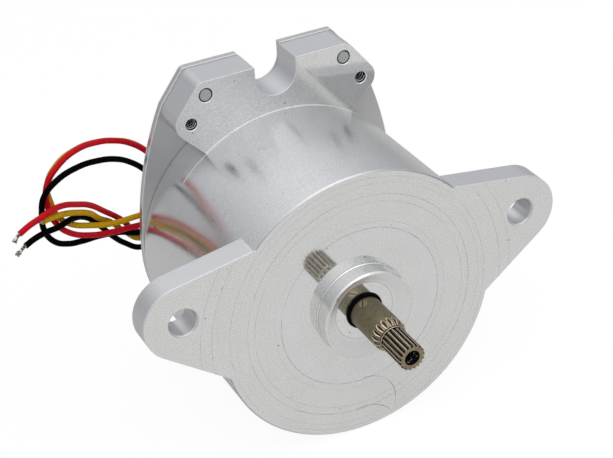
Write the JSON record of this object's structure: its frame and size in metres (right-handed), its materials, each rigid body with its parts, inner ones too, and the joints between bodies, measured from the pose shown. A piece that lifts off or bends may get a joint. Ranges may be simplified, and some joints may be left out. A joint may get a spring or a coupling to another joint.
{
  "type": "brushless dc motor",
  "caption": "Brushless dc motor with a piloted two-ear mounting flange, a rear bracket pad, a splined output shaft and bare-ended flying leads.",
  "frame": {"origin": "on the shaft axis in the plane of the flange's mounting face, where the pilot begins", "axes": "-Y is the way the output shaft points, +Z is the side with the bracket pad, and +X is to the right of a viewer who looks along +Y at the mounting face"},
  "size_m": [0.1808, 0.134, 0.1228],
  "materials": {
    "machined_aluminium": "bare aluminium, finely turned and milled, half mirror",
    "cover_aluminium": "bare aluminium plate, finely machined",
    "screw_steel": "zinc plated steel",
    "dowel_steel": "ground hardened steel",
    "shaft_steel": "turned steel with an olive bronze tone",
    "bearing_steel": "ground bearing steel",
    "ball_steel": "polished",
    "cage_steel": "pressed strip",
    "shield_steel": "pressed sheet",
    "spring_steel": "hardened strip",
    "seal_rubber": "moulded, matt",
    "grommet_rubber": "moulded, matt",
    "lamination_steel": "stacked electrical sheet",
    "magnet_dark": "coated sintered magnet",
    "sleeve_steel": "thin drawn tube",
    "insulator_nylon": "moulded",
    "copper_winding": "enamelled copper wire",
    "lead_red": "smooth insulation",
    "lead_yellow": "smooth insulation",
    "lead_black": "smooth insulation",
    "bare_strands": "twisted tinned strands"
  },
  "bodies": {
    "housing": {"front_housing": "machined_aluminium", "rear_cover": "cover_aluminium", "cover_seal_ring": "seal_rubber", "cover_screws": "screw_steel", "dowel_pins": "dowel_steel", "lead_grommet": "grommet_rubber", "shaft_seal": "seal_rubber", "bearing_circlip": "spring_steel", "preload_spring": "spring_steel", "front_bearing_outer": "bearing_steel", "front_bearing_shields": "shield_steel", "rear_bearing_outer": "bearing_steel", "rear_bearing_shields": "shield_steel", "stator_core": "lamination_steel", "front_insulator": "insulator_nylon", "rear_insulator": "insulator_nylon", "coil_1": "copper_winding", "coil_2": "copper_winding", "coil_3": "copper_winding", "coil_4": "copper_winding", "coil_5": "copper_winding", "coil_6": "copper_winding", "coil_7": "copper_winding", "coil_8": "copper_winding", "coil_9": "copper_winding", "star_ring": "copper_winding", "red_lead": "lead_red", "yellow_lead": "lead_yellow", "black_lead": "lead_black", "red_strands": "bare_strands", "yellow_strands": "bare_strands", "black_strands": "bare_strands"},
    "rotor": {"shaft": "shaft_steel", "front_bearing_inner": "bearing_steel", "rear_bearing_inner": "bearing_steel", "rotor_core": "lamination_steel", "magnet_1": "magnet_dark", "magnet_2": "magnet_dark", "magnet_3": "magnet_dark", "magnet_4": "magnet_dark", "magnet_5": "magnet_dark", "magnet_6": "magnet_dark", "magnet_sleeve": "sleeve_steel"},
    "front_cage": {"front_bearing_cage": "cage_steel", "front_bearing_balls": "ball_steel"},
    "rear_cage": {"rear_bearing_cage": "cage_steel", "rear_bearing_balls": "ball_steel"}
  },
  "joints": [
    {"name": "rotor_spin", "type": "hinge", "parent": "housing", "child": "rotor", "pos_m": [0, 0, 0], "axis": [0, -1, 0], "continuous": true},
    {"name": "front_cage_spin", "type": "hinge", "parent": "housing", "child": "front_cage", "pos_m": [0, 0.0065, 0], "axis": [0, -1, 0], "continuous": true},
    {"name": "rear_cage_spin", "type": "hinge", "parent": "housing", "child": "rear_cage", "pos_m": [0, 0.0645, 0], "axis": [0, -1, 0], "continuous": true}
  ],
  "couplings": [
    {"joint": "front_cage_spin", "follows": "rotor_spin", "ratio": 0.3645},
    {"joint": "rear_cage_spin", "follows": "rotor_spin", "ratio": 0.3676}
  ]
}
